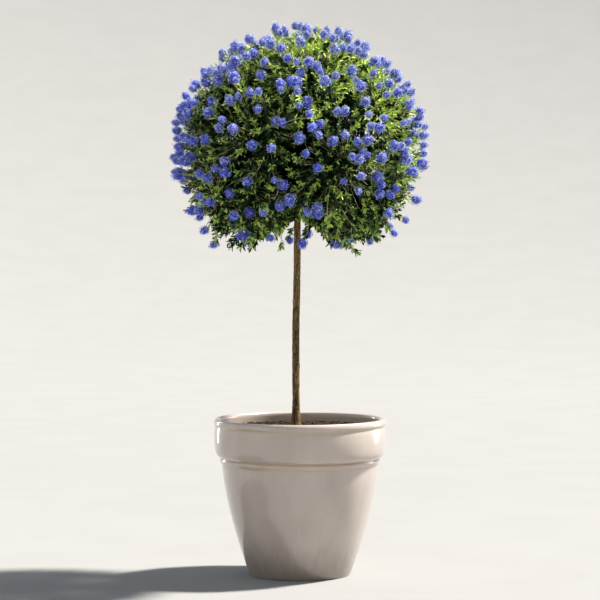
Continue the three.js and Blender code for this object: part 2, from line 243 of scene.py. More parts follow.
# The side the light comes from: leaves and florets facing it are painted lighter
SUNNY_SIDE = np.array([0.36, 0.06, 0.931])
SHADIEST = -0.2
LEAF_SHADE = 2.08
LEAF_SHADE_BY_LIGHT = 2.0
LEAF_SHADE_BY_AGE = 0.1
SHOOT_SHADE_SCATTER = 0.7
LEAF_SHADE_SCATTER = 1.0
LEAF_SEED = 83

# Inner leaves: older ones along the boughs, stems and main twigs, painted dark as shade, and painted
# lighter higher up where light comes from above
INNER_LEAVES = 240
INNER_LEAF_LENGTH = 32 * MM
INNER_LEAF_BROADER = 1.6
INNER_LEAF_PLACES = (0.0, 0.9)
INNER_LEAF_REACH = 0.78
INNER_LEAVES_HIGHER = 0.07
INNER_LEAVES_LIGHTER = 1.2
INNER_SHADE_SCATTER = 0.4
INNER_LEAVES_SMALLER = 0.35
SMALLER_FROM = 0.6
BARE_BOUGH = 0.35
INNER_LEAF_LEAN = (0.9, 1.5)
INNER_LEAF_STALK = 20 * MM

# Blossom: egg-shaped clusters of florets that stand in little tufts
BLOSSOM_GROUPS = 450
GROUP_SIZES = (0.42, 0.36, 0.16, 0.06)
GROUP_SCATTER = 0.05
GROUP_ROOM = 48 * MM
BLOSSOM_ROOM = 23 * MM
FEWER_BELOW = 1.3
BLOSSOM_LENGTH = (26 * MM, 42 * MM)
BLOSSOM_WIDTH = (0.68, 0.94)
BLOSSOM_TAPER = 0.14
BLOSSOM_OUTWARD = 0.6
BLOSSOM_CORE = 0.76
CORE_LUMPS = 0.08
FLORETS = 84
LOWEST_FLORET = -0.86
FLORET_SIZE = 0.092
FLORET_SIZES = (0.8, 1.2)
FLORET_SCATTER = 0.04
FLORET_TILT = 0.3
FLORET_MIDDLE = -0.25
TUFT_WAVES = 4
TUFT_FINENESS = 7.5
TUFT_HEIGHT = 0.13
# Painted light and shade of the florets: how far the sun, the tufts and each floret's facing lighten its
# tint
BLOSSOM_SHADE = 0.9
BLOSSOM_SHADE_SCATTER = 0.4
TUFTS_PALER = 0.7
LIT_FLORETS_PALER = 0.6
FLORET_SHADE_SCATTER = 0.5
LOW_ON_BLOSSOM = -0.5
FADED_SHARES = (0.3, 0.04)
PETALS = 5
BLOSSOM_SEED = 7

# A petal's corners: their radius, their turn from its middle line and their height
PETAL = ((0.62, -0.42, 0.12), (1.0, 0, 0.3), (0.62, 0.42, 0.12))

# Camera and studio
CAMERA_DISTANCE = 7.0
CAMERA_HEIGHT = 1.05
AIM_HEIGHT = 0.825
PICTURE_HEIGHT = 1.8
SENSOR = 36
SUN_PLACE = (5.2, 1.9, 8.2)
SUN_POWER = 10.6
SUN_COLOUR = (1.0, 0.955, 0.88)
SUN_SOFTNESS = math.radians(5)
SKY_COLOUR = (0.78, 0.88, 1.0)
SKY_STRENGTH = 0.46
WINDOW_COLOUR = (1.0, 0.99, 0.96)
WINDOW_SPREAD = math.radians(70)
FLOOR_MIDDLE = 0.01
FLOOR_RADIUS = 8.0
COVE_RADIUS = 20.0
COVE_TURN = math.radians(60)
COVE_STEPS = 24
COVE_SIDES = 96

# Tall soft lights that the glaze mirrors: their name, place, size, lean to one side and power
WINDOWS = [
    ("right_window", (3.1, 1.4, 1.3), (1.0, 2.8), math.radians(28), 6),
    ("left_window", (-2.2, 2.5, 0.95), (0.3, 1.9), 0, 2),
]


# Vectors
def normalized(vectors):
    return vectors / np.linalg.norm(vectors, axis=-1, keepdims=True)


def lerp(low, high, share):
    return low + (high - low) * share


def frames(forward):
    """Two directions square to each forward direction and to each other."""
    reference = np.where(np.abs(forward[..., 2:]) < NEARLY_UPRIGHT, UP, SIDEWAYS)
    across = normalized(np.cross(reference, forward))
    return across, np.cross(forward, across)


def turned(first, second, angle):
    """The first of two square directions, turned by an angle towards the second."""
    return first * np.cos(angle)[..., None] + second * np.sin(angle)[..., None]


def circle(count):
    """Angles spread evenly all round."""
    return np.arange(count) / count * math.tau


def rings(radius, height, angle):
    """Points round the upright axis."""
    return np.stack(np.broadcast_arrays(radius * np.cos(angle), radius * np.sin(angle), height), axis=-1)


def random_stream(seed):
    """The seeded random numbers that the solids are grown by."""
    state = seed

    def draw(low, high):
        nonlocal state
        state = (state * RANDOM_FACTOR + RANDOM_STEP) % RANDOM_RANGE
        return lerp(low, high, state / RANDOM_RANGE)

    return draw


# Materials
def opaque(colour):
    return (*colour, 1.0)


def feed(socket, value):
    """Set an input to a plain value or colour, or link it to the output of a node."""
    if isinstance(value, bpy.types.NodeSocket):
        socket.id_data.links.new(value, socket)
    else:
        socket.default_value = opaque(value) if socket.type == "RGBA" else value


def feed_inputs(node, **inputs):
    for name, value in inputs.items():
        feed(node.inputs[name.replace("_", " ")], value)
    return node


def new_node(tree, kind, **inputs):
    return feed_inputs(tree.nodes.new(kind), **inputs)


def new_material(name, roughness, **inputs):
    material = bpy.data.materials.new(name)
    material.use_nodes = True
    tree = material.node_tree
    shader = feed_inputs(tree.nodes["Principled BSDF"], Roughness=roughness, **inputs)
    return material, tree, shader


def place_node(tree):
    """Places on the piece in metres."""
    return tree.nodes.new("ShaderNodeTexCoord").outputs["Object"]


def stretched_node(tree, stretch):
    """Places on the piece, drawn out upwards where the factor is small."""
    scale = (1, 1, stretch)
    return new_node(tree, "ShaderNodeMapping", Vector=place_node(tree), Scale=scale).outputs["Vector"]


def height_node(tree):
    return new_node(tree, "ShaderNodeSeparateXYZ", Vector=place_node(tree)).outputs["Z"]


def noise_node(tree, scale, detail=4.0, stretch=1):
    place = stretched_node(tree, stretch)
    return new_node(tree, "ShaderNodeTexNoise", Vector=place, Scale=scale, Detail=detail).outputs["Fac"]


def math_node(operation, *values, kind="ShaderNodeMath"):
    """The result of an operation on values: a socket, then others or plain values."""
    node = values[0].id_data.nodes.new(kind)
    node.operation = operation
    for socket, value in zip(node.inputs, values):
        feed(socket, value)
    return node.outputs[0]


def crack_node(tree, scale, stretch):
    """The distance to the nearest side of ragged cells: cracks run where it is nought."""
    place = stretched_node(tree, stretch)
    bend = new_node(tree, "ShaderNodeTexNoise", Vector=place, Scale=scale / 2).outputs["Color"]
    ragged = math_node("MULTIPLY_ADD", bend, (1 / scale,) * 3, place, kind="ShaderNodeVectorMath")
    cells = new_node(tree, "ShaderNodeTexVoronoi", Vector=ragged, Scale=scale)
    cells.feature = "DISTANCE_TO_EDGE"
    return cells.outputs["Distance"]


def range_node(value, low, high):
    """A value's place between two bounds, from 0 to 1."""
    node = new_node(value.id_data, "ShaderNodeMapRange", Value=value, From_Min=low, From_Max=high)
    node.interpolation_type = "SMOOTHSTEP"
    return node.outputs["Result"]


def band_node(value, rising, falling):
    """A band that rises between two bounds and falls again between two others."""
    return math_node("MULTIPLY", range_node(value, *rising), range_node(value, *falling))


def ramp_node(factor, stops):
    """A colour ramp through (position, colour) stops."""
    ramp = new_node(factor.id_data, "ShaderNodeValToRGB", Fac=factor)
    elements = ramp.color_ramp.elements
    while len(elements) < len(stops):
        elements.new(0.5)
    for element, (position, colour) in zip(elements, stops):
        element.position = position
        element.color = opaque(colour)
    return ramp.outputs["Color"]


def mix_node(factor, first, second):
    """A mix of two colours, each a socket or a plain colour."""
    mix = factor.id_data.nodes.new("ShaderNodeMix")
    mix.data_type = "RGBA"
    colours = [socket for socket in mix.inputs if socket.type == "RGBA"]
    for socket, value in zip([mix.inputs["Factor"], *colours], (factor, first, second)):
        feed(socket, value)
    return next(socket for socket in mix.outputs if socket.type == "RGBA")


def bump_node(shader, height, distance, strength):
    bump = new_node(shader.id_data, "ShaderNodeBump", Height=height, Distance=distance, Strength=strength)
    feed_inputs(shader, Normal=bump.outputs["Normal"])


def mottled_material(name, first, second, scale, roughness, **inputs):
    """Two near tones that change from one leaf, floret or twig to the next."""
    material, tree, shader = new_material(name, roughness, **inputs)
    share = range_node(noise_node(tree, scale, detail=2.0), *MOTTLED)
    feed_inputs(shader, Base_Color=mix_node(share, first, second))
    return material


# Meshes
def link_object(name, data):
    thing = bpy.data.objects.new(name, data)
    bpy.context.scene.collection.objects.link(thing)
    return thing


def make_mesh(name, vertices, faces, look, smooth=True):
    mesh = bpy.data.meshes.new(name)
    mesh.from_pydata(vertices, [], faces, shade_flat=not smooth)
    mesh.materials.append(look)
    return link_object(name, mesh)


def make_piece(name, vertices, faces, look, slot, nodes=(), smooth=True):
    """One piece of the plant, riding on its body and standing for solids."""
    piece = make_mesh(name, vertices, faces, look, smooth)
    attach(piece, "root")
    if nodes:
        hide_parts(*nodes)
    return piece


def make_copies(name, copies, faces, look, slot, nodes=(), smooth=True):
    """One piece from the points of a template's copies (copy, point, xyz) and its faces."""
    count, points = copies.shape[:2]
    make_piece(name, copies.reshape(-1, 3), repeated(faces, count, points), look, slot, nodes, smooth)


def grid_faces(rows, columns):
    """Quads between rows of points that close on themselves."""
    row = np.arange(rows - 1)[:, None] * columns
    first = np.arange(columns)[None]
    second = (first + 1) % columns
    corners = [row + first, row + second, row + second + columns, row + first + columns]
    return np.stack(corners, axis=-1).reshape(-1, 4)


def repeated(faces, count, points):
    """A template's faces for each of its copies, which have so many points each."""
    offsets = points * np.arange(count)[:, None, None]
    return (faces[None] + offsets).reshape(-1, faces.shape[1])


def placed(template, origins, axes, sizes):
    """A template's points for each origin, with three axes and three sizes of its own."""
    scaled = template[None] * sizes[:, None, :]
    return origins[:, None] + np.einsum("nvi,nij->nvj", scaled, axes)


def tubes(points, radii, sides):
    """Round tubes along lines of points (tube, step, xyz), with a radius at each step."""
    across, around = frames(normalized(np.gradient(points, axis=1)))
    ring = turned(across[..., None, :], around[..., None, :], circle(sides))
    corners = points[..., None, :] + ring * radii[..., None, None]
    count, steps = points.shape[:2]
    return corners.reshape(-1, 3), repeated(grid_faces(steps, sides), count, steps * sides)


# Curves: cubic Bezier curves by their control points (..., 4, 3)
def curve_point(controls, share):
    u = np.asarray(share)[..., None]
    a, b, c, d = np.moveaxis(controls, -2, 0)
    return a * (1 - u) ** 3 + 3 * b * u * (1 - u) ** 2 + 3 * c * u**2 * (1 - u) + d * u**3


def curve_tangent(controls, share):
    u = np.asarray(share)[..., None]
    a, b, c, d = np.moveaxis(controls, -2, 0)
    return normalized((b - a) * (1 - u) ** 2 + 2 * (c - b) * u * (1 - u) + (d - c) * u**2)


def leaving(start, heading, straight, end):
    """A curve that leaves in a heading, and keeps to it over a share of the way."""
    towards = start + heading * straight * np.linalg.norm(end - start)
    return np.array([start, lerp(start, towards, 2 / 3), lerp(end, towards, 2 / 3), end])


def share_at_length(controls, share):
    """The curve's own share at a share of its length."""
    steps = np.linspace(0, 1, LENGTH_STEPS + 1)
    points = curve_point(controls[None], steps)
    lengths = np.concatenate([[0], np.cumsum(np.linalg.norm(np.diff(points, axis=0), axis=1))])
    return np.interp(share * lengths[-1], lengths, steps)


# Pot
def body_radius(height):
    return lerp(FOOT_RADIUS, BODY_TOP_RADIUS, 1 - (1 - height / BODY_TOP) ** BODY_BOW)


def pot_profile():
    """Radii and heights from the middle of the underside, over the lip, to the hollow's floor."""
    heights = np.linspace(FOOT_CHAMFER, BEAD_FOOT, BODY_STEPS + 1)
    body = [(body_radius(height), height) for height in heights]
    mouldings = np.array([
        (238.5, 337), (241, 342), (241, 348), (239, 352.5),
        (245.5, 356), (251.5, 363), (255, 375), (257, 392),
        (258, 412), (257.5, 432), (255.8, 446.5), (258.2, 451),
        (259.5, 457.5), (257.5, 465.5), (252, 470), (245, 468.5),
    ]) * MM
    heights = np.linspace(BODY_TOP, FLOOR + FLOOR_ROUNDING, HOLLOW_STEPS + 1)
    hollow = [(body_radius(height) - WALL, height) for height in heights]
    floor_radius = hollow[-1][0] - FLOOR_ROUNDING
    return np.array([
        (FOOT_RADIUS / 2, 0), (FOOT_RADIUS - 2 * FOOT_CHAMFER, 0), (FOOT_RADIUS - FOOT_CHAMFER, 0),
        *body, *mouldings,
        (LIP_INNER_RADIUS, LIP_INNER_TOP), (LIP_INNER_RADIUS, SOIL_TOP), (LIP_INNER_RADIUS, COLLAR_HOLLOW),
        *hollow, (floor_radius, FLOOR), (floor_radius / 2, FLOOR),
    ])


def smoothed(points, fineness):
    """A smooth line through points, by Catmull and Rom's rule."""
    padded = np.vstack([2 * points[0] - points[1], points, 2 * points[-1] - points[-2]])
    before, start, end, after = padded[:-3], padded[1:-2], padded[2:-1], padded[3:]
    square = 2 * before - 5 * start + 4 * end - after
    cube = 3 * start - before - 3 * end + after
    line = [
        (2 * start + (end - before) * u + square * u**2 + cube * u**3) / 2
        for u in np.arange(fineness) / fineness
    ]
    return np.vstack([np.stack(line, axis=1).reshape(-1, 2), points[-1:]])


def glaze_material():
    material, tree, shader = new_material(
        "glaze", 0.3, Coat_Weight=1.0, Coat_Roughness=0.05, Coat_IOR=1.55, Specular_IOR_Level=0.3
    )
    height = height_node(tree)
    clouds = noise_node(tree, 10.0, detail=6.0, stretch=0.45)
    streaks = noise_node(tree, 55.0, stretch=0.05)
    colour = ramp_node(clouds, [(0.3, (0.408, 0.346, 0.307)), (0.7, (0.495, 0.426, 0.385))])
    colour = mix_node(range_node(streaks, 0.5, 1.2), colour, (0.55, 0.485, 0.43))

    # The glaze gathers under the bead, the collar and the lip, and is a warmer tan there
    for middle, width, tan in (
        (BEAD_FOOT, 7 * MM, (0.46, 0.37, 0.285)),
        (COLLAR_FOOT, 6 * MM, (0.46, 0.34, 0.225)),
        (LIP_FOOT, 7 * MM, (0.455, 0.365, 0.27)),
    ):
        band = band_node(height, (middle - width, middle), (middle + width, middle))
        colour = mix_node(band, colour, tan)

    # Painted reflection of dark ground: the glaze is darker towards the foot, with a ragged upper edge
    ragged = math_node("MULTIPLY_ADD", streaks, PAINTED_REFLECTION_RAGGED, height)
    painted_reflection = range_node(ragged, PAINTED_REFLECTION_TOP, PAINTED_REFLECTION_FOOT)
    feed_inputs(shader, Base_Color=mix_node(painted_reflection, colour, (0.25, 0.215, 0.185)))
    bump_node(shader, streaks, 0.15 * MM, 0.25)
    return material


def make_pot():
    profile = smoothed(pot_profile(), PROFILE_FINENESS)
    profile = np.clip(profile, 0, (POT_RADIUS, POT_HEIGHT))
    angle = circle(POT_SEGMENTS)
    radius, height = profile[:, :1], profile[:, 1:]

    # Each wave of the glaze has so many crests round the pot and turns so far up its height
    waves = sum(np.sin(crests * angle + twist * height / POT_HEIGHT) for crests, twist in GLAZE_WAVES)
    radius = radius - GLAZE_WAVE_HEIGHT * (1 + waves / len(GLAZE_WAVES))
    vertices = np.vstack([rings(radius, height, angle).reshape(-1, 3), (0, 0, 0), (0, 0, FLOOR)])
    faces = grid_faces(len(profile), POT_SEGMENTS).tolist()
    underside, floor = len(vertices) - 2, len(vertices) - 1
    last = (len(profile) - 1) * POT_SEGMENTS
    for k in range(POT_SEGMENTS):
        following = (k + 1) % POT_SEGMENTS
        faces += [(underside, following, k), (floor, last + k, last + following)]
    pot = make_mesh("pot_glazed", vertices, faces, glaze_material())
    bore_drain_holes(pot)
    pot.data.shade_smooth()
    pot.data.set_sharp_from_angle(angle=SHARP_ANGLE)
    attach(pot, "root")
    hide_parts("pot")


def bore_drain_holes(pot):
    drills = []
    for k in range(DRAIN_HOLES):
        place = rings(DRAIN_CIRCLE, 0, (k + 0.5) / DRAIN_HOLES * math.tau)
        bpy.ops.mesh.primitive_cylinder_add(
            vertices=DRAIN_SIDES, radius=DRAIN_RADIUS, depth=4 * FLOOR, location=place
        )
        drills.append(bpy.context.object)
        modifier = pot.modifiers.new(f"drain_{k}", "BOOLEAN")
        modifier.operation = "DIFFERENCE"
        modifier.object = drills[k]
    depsgraph = bpy.context.evaluated_depsgraph_get()
    bored = bpy.data.meshes.new_from_object(pot.evaluated_get(depsgraph))
    pot.modifiers.clear()
    pot.data = bored
    for drill in drills:
        bpy.data.objects.remove(drill)


# Compost
def soil_height(radius):
    return SOIL_TOP + SOIL_MOUND * np.exp(-((radius / SOIL_MOUND_RADIUS) ** 2))


def compost_material():
    material, tree, shader = new_material("compost", 0.95, Specular_IOR_Level=0.25)
    coarse = noise_node(tree, 70.0, detail=5.0)
    fine = noise_node(tree, 420.0, detail=3.0)
    browns = [(0.3, (0.012, 0.008, 0.005)), (0.52, (0.04, 0.025, 0.015)), (0.72, (0.1, 0.062, 0.036))]
    colour = ramp_node(coarse, browns)
    colour = mix_node(range_node(fine, 0.55, 0.75), colour, (0.16, 0.11, 0.07))
    feed_inputs(shader, Base_Color=colour)
    bump_node(shader, fine, 1.2 * MM, 0.8)
    return material


def make_compost():
    draws = np.random.default_rng(CRUMB_SEED)
    edge = LIP_INNER_RADIUS - CLEARANCE
    look = compost_material()
    radius = np.linspace(edge, SOIL_MIDDLE, SOIL_RINGS)[:, None]
    rough = draws.uniform(-SOIL_ROUGHNESS, SOIL_ROUGHNESS, (SOIL_RINGS, SOIL_SEGMENTS))
    top = rings(radius, soil_height(radius) - SOIL_ROUGHNESS + rough, circle(SOIL_SEGMENTS))
    under = top[:1] * (1, 1, 0) + (0, 0, SOIL_TOP - SOIL_DEPTH)
    closed = np.vstack([under * (SOIL_CLOSING, SOIL_CLOSING, 1), under, top])
    faces = grid_faces(len(closed), SOIL_SEGMENTS)
    make_piece("compost_surface", closed.reshape(-1, 3), faces, look, "compost", ["compost"])

    # Crumbs: small blocks with dented corners, lying half in the surface
    corners = np.array([(x, y, z) for x in (-1, 1) for y in (-1, 1) for z in (-1, 1)], float)
    sides = np.array([(0, 1, 3, 2), (4, 6, 7, 5), (0, 4, 5, 1), (2, 3, 7, 6), (0, 2, 6, 4), (1, 5, 7, 3)])
    away = edge * np.sqrt(draws.uniform(0, CRUMBS_SPREAD, CRUMBS))
    middles = rings(away, soil_height(away), draws.uniform(0, math.tau, CRUMBS))
    forward = normalized(draws.normal(size=(CRUMBS, 3)))
    axes = np.stack([forward, *frames(forward)], axis=1)
    sizes = draws.uniform(*CRUMB_SIZES, CRUMBS)[:, None] / 2 * draws.uniform(*CRUMB_SLIMNESS, (CRUMBS, 3))
    blocks = placed(corners, middles, axes, sizes)
    dents = draws.uniform(-CRUMB_DENTS, CRUMB_DENTS, blocks.shape)
    blocks = blocks + dents * sizes.mean(axis=1)[:, None, None]
    make_copies("compost_crumbs", blocks, sides, look, "compost", smooth=False)


# Limbs
def trunk_line(share):
    """Points of the trunk at shares of its height."""
    heights, sways = np.array(TRUNK_BENDS).T
    slopes = np.gradient(sways, heights)
    which = np.clip(np.searchsorted(heights, share, side="right") - 1, 0, len(heights) - 2)
    span = heights[which + 1] - heights[which]
    u = (share - heights[which]) / span
    sway = (
        (2 * u**3 - 3 * u**2 + 1) * sways[which]
        + (u**3 - 2 * u**2 + u) * span * slopes[which]
        + (3 * u**2 - 2 * u**3) * sways[which + 1]
        + (u**3 - u**2) * span * slopes[which + 1]
    )
    x = lerp(TRUNK_OFFSET, TRUNK_TIP_OFFSET, share**2) - sway
    return np.stack([x, sway, TRUNK_FOOT + share * TRUNK_HEIGHT], axis=-1)


def trunk_radius(share):
    flare = FLARE * np.exp(-share * TRUNK_HEIGHT / FLARE_HEIGHT)
    return lerp(TRUNK_RADIUS, TRUNK_TIP_RADIUS, share**TRUNK_TAPER) + flare


def lattice_place(place):
    """The lattice point below a place, and the eased way on to the next."""
    below = np.floor(place).astype(int)
    way = place - below
    return below, way * way * (3 - 2 * way)


def lattice_noise(draws, around, along, columns, rows):
    """Smooth random values from 0 to 1 that repeat once round the limb."""
    values = draws.uniform(0, 1, (rows + 2, columns))
    left, s = lattice_place(around * columns)
    low, t = lattice_place(along * rows)
    below = lerp(values[low, left % columns], values[low, (left + 1) % columns], s)
    above = lerp(values[low + 1, left % columns], values[low + 1, (left + 1) % columns], s)
    return lerp(below, above, t)


def bark_relief(draws, around, along, length, furrows, depth):
    """How far the bark stands in or out, and how deep in a furrow it lies, from 0 to 1."""
    cells = np.array([furrows, max(FEWEST_FURROWS, round(length / FURROW_LENGTH))])
    plates = lattice_noise(draws, around, along, *cells)
    cracks = lattice_noise(draws, around + CRACKS_WANDER * plates, along, *cells * CRACK_FINENESS)
    grain = lattice_noise(draws, around, along, *cells * GRAIN_FINENESS)
    ridge = np.abs(2 * plates - 1) * PLATES_SHARE + np.abs(2 * cracks - 1) * CRACKS_SHARE
    furrow = np.clip(1 - FURROW_NARROWNESS * ridge, 0, 1)
    relief = depth * (PLATES_STAND_OUT - furrow)
    relief = relief + BARK_GRAIN_DEPTH * depth / FURROW_DEPTH * (grain - 0.5)
    return relief, furrow


def bark_tube(draws, points, radii, sides, furrows, depth, knobs=0):
    """A limb with bark: its corners, its faces and the depth of furrow at each corner."""
    steps = len(points)
    length = np.linalg.norm(np.diff(points, axis=0), axis=1).sum()
    around = np.broadcast_to(np.arange(sides) / sides, (steps, sides))
    along = np.broadcast_to(np.linspace(0, BARK_END, steps)[:, None], (steps, sides))
    relief, furrow = bark_relief(draws, around, along, length, furrows, depth)
    for _ in range(knobs):
        middle, turn = draws.uniform(*KNOB_PLACES), draws.uniform(0, 1)
        size, height = draws.uniform(*KNOB_SIZE), draws.uniform(*KNOB_HEIGHT)
        apart = (around - turn + 0.5) % 1 - 0.5
        away = np.hypot((along - middle) * length, apart * math.tau * radii.mean())
        relief = relief + height * np.exp(-((away / size) ** 2))
    across, side = frames(normalized(np.gradient(points, axis=0)))
    ring = turned(across[:, None], side[:, None], around * math.tau)
    corners = points[:, None] + ring * (radii[:, None] + relief)[..., None]
    return corners.reshape(-1, 3), grid_faces(steps, sides), furrow.ravel()


def bark_material():
    material, tree, shader = new_material("bark", 0.82, Specular_IOR_Level=0.3)
    furrow = tree.nodes.new("ShaderNodeAttribute")
    furrow.attribute_name = "furrow"
    patches = noise_node(tree, 26.0, stretch=0.35)
    fibres = noise_node(tree, 260.0, detail=6.0, stretch=0.12)
    strands = noise_node(tree, 950.0, detail=3.0, stretch=0.07)
    frayed = math_node("MULTIPLY_ADD", strands, 0.42, crack_node(tree, 270.0, 0.14))
    crack = range_node(frayed, 0.29, 0.16)
    browns = [(0.34, (0.175, 0.11, 0.034)), (0.5, (0.295, 0.195, 0.063)), (0.66, (0.43, 0.31, 0.122))]
    colour = ramp_node(patches, browns)
    # The last two tones are painted shade, darkening the cracks and the furrows nearly to black
    for share, tone in (
        (band_node(height_node(tree), WARM_BARK, COOL_BARK), (0.46, 0.245, 0.07)),
        (range_node(strands, 0.44, 0.66), (0.1, 0.062, 0.024)),
        (range_node(fibres, 0.47, 0.72), (0.095, 0.058, 0.022)),
        (crack, (0.03, 0.019, 0.01)),
        (furrow.outputs["Fac"], (0.015, 0.01, 0.007)),
    ):
        colour = mix_node(share, colour, tone)
    feed_inputs(shader, Base_Color=colour)
    bump_node(shader, math_node("SUBTRACT", fibres, crack), 0.9 * MM, 0.9)
    return material


# The head's rule: directions spread evenly, each owned by the mass whose axis is nearest
def head_reach(direction):
    down = np.maximum(0, -direction[..., 2])
    power = UNDERSIDE_SHARPNESS
    return (HEAD_RADIUS**-power + (down / HEAD_UNDERSIDE) ** power) ** (-1 / power)


def spread_directions(count, lowest):
    k = np.arange(count)
    z = 1 - (k + 0.5) / count * (1 - lowest)
    return rings(np.sqrt(1 - z * z), z, k * GOLDEN_ANGLE)


mass_directions = spread_directions(MASSES, LOWEST_MASS)


def owner_of(directions):
    return np.argmax(directions @ mass_directions.T, axis=-1)


def cell_room(point, own):
    """The distance from a point to the nearest side of its mass's cell, and the way off it."""
    others = np.delete(mass_directions, own, axis=0)
    ways = normalized(mass_directions[own] - others)
    rooms = ways @ (point - HEAD_MIDDLE)
    nearest = np.argmin(rooms)
    return rooms[nearest], ways[nearest]


def bough_curve(i):
    direction = mass_directions[i]
    below = 0 if i == 0 else HIGHEST_BOUGH + i * BOUGH_SPACING
    start = trunk_line(np.array(1 - below / TRUNK_HEIGHT))
    hub_reach = HUB_RADIUS + HUB_DEEPER * max(0, -direction[2])
    end = HEAD_MIDDLE + direction * hub_reach
    outward = normalized(direction * (1, 1, 0))
    rise = math.pi / 2 if i == 0 else BOUGH_RISE
    heading = outward * math.cos(rise) + UP * math.sin(rise)
    return leaving(start, heading, BOUGH_STRAIGHT, end)


def stem_curve(bough, i):
    """The stem of a mass goes on from its bough's tip."""
    onward = curve_tangent(bough, 1.0)
    start = bough[3] + onward * CLEARANCE
    direction = mass_directions[i]
    end = HEAD_MIDDLE + direction * STEM_REACH * head_reach(direction)
    return leaving(start, onward, STEM_STRAIGHT, end)


boughs = [bough_curve(i) for i in range(MASSES)]
stems = [stem_curve(bough, i) for i, bough in enumerate(boughs)]


def main_twigs():
    """Each main twig's mass, number, tip and curve, grown by the rule of the solids."""
    draw = random_stream(TWIG_SEED)
    bends = np.random.default_rng(TWIG_SEED)
    found = []
    for k, direction in enumerate(spread_directions(TWIGS, LOWEST_TWIG)):
        share = draw(*(HANGING_REACH if direction[2] < HANGING_BELOW else TWIG_REACH))
        own = owner_of(direction)
        tip = HEAD_MIDDLE + direction * share * head_reach(direction)
        for _ in range(CELL_PASSES):
            room, nearest = cell_room(tip, own)
            tip = tip + nearest * max(0, TWIG_CELL_MARGIN - room)
        root = draw(*TWIG_ROOTS)
        if math.hypot(tip[0], tip[1]) <= TRUNK_MARGIN:
            continue
        start = curve_point(stems[own], share_at_length(stems[own], root))
        end = tip - normalized(tip - HEAD_MIDDLE) * TWIG_SHORT_OF_TIP
        bow = bends.normal(size=(2, 3)) * TWIG_BOW * np.linalg.norm(end - start)
        curve = np.array([start, lerp(start, end, 1 / 3) + bow[0], lerp(start, end, 2 / 3) + bow[1], end])
        found.append((own, k, tip, curve))
    return found


twig_owners, twig_numbers, twig_tips, twig_curves = (np.array(part) for part in zip(*main_twigs()))


def blooming_shoots(directions, taken, draws):
    """Which shoots end in blossom: small groups of neighbours, away from those that are there."""
    middles = spread_directions(BLOSSOM_GROUPS, LOWEST_SHOOT)
    middles = normalized(middles + draws.normal(0, GROUP_SCATTER, middles.shape))
    sizes = draws.choice(len(GROUP_SIZES), BLOSSOM_GROUPS, p=GROUP_SIZES) + 1
    sizes[draws.uniform(0, 1, BLOSSOM_GROUPS) < -FEWER_BELOW * middles[:, 2]] = 0
    sizes[(middles @ taken.T).max(axis=1) > math.cos(GROUP_ROOM / HEAD_RADIUS)] = 0
    nearest = np.argsort(-(directions @ middles.T), axis=0)
    blooming = []
    for group, size in enumerate(sizes):
        for shoot in nearest[:size, group]:
            nearness = directions[blooming] @ directions[shoot]
            if np.all(nearness < math.cos(BLOSSOM_ROOM / HEAD_RADIUS)):
                blooming.append(shoot)
    return np.isin(np.arange(len(directions)), blooming)


def underside_depth(aside):
    """How far the head hangs below its middle: the underside rises to the trunk in an arch."""
    return HEAD_UNDERSIDE - ARCH_RISE * np.exp(-((aside / ARCH_HALF_WIDTH) ** 2))


def arch(directions):
    """How much of its reach a hanging shoot keeps under the arch."""
    down = np.maximum(-directions[:, 2], NEARLY_LEVEL)
    return underside_depth(HEAD_UNDERSIDE * directions[:, 0] / down) / HEAD_UNDERSIDE


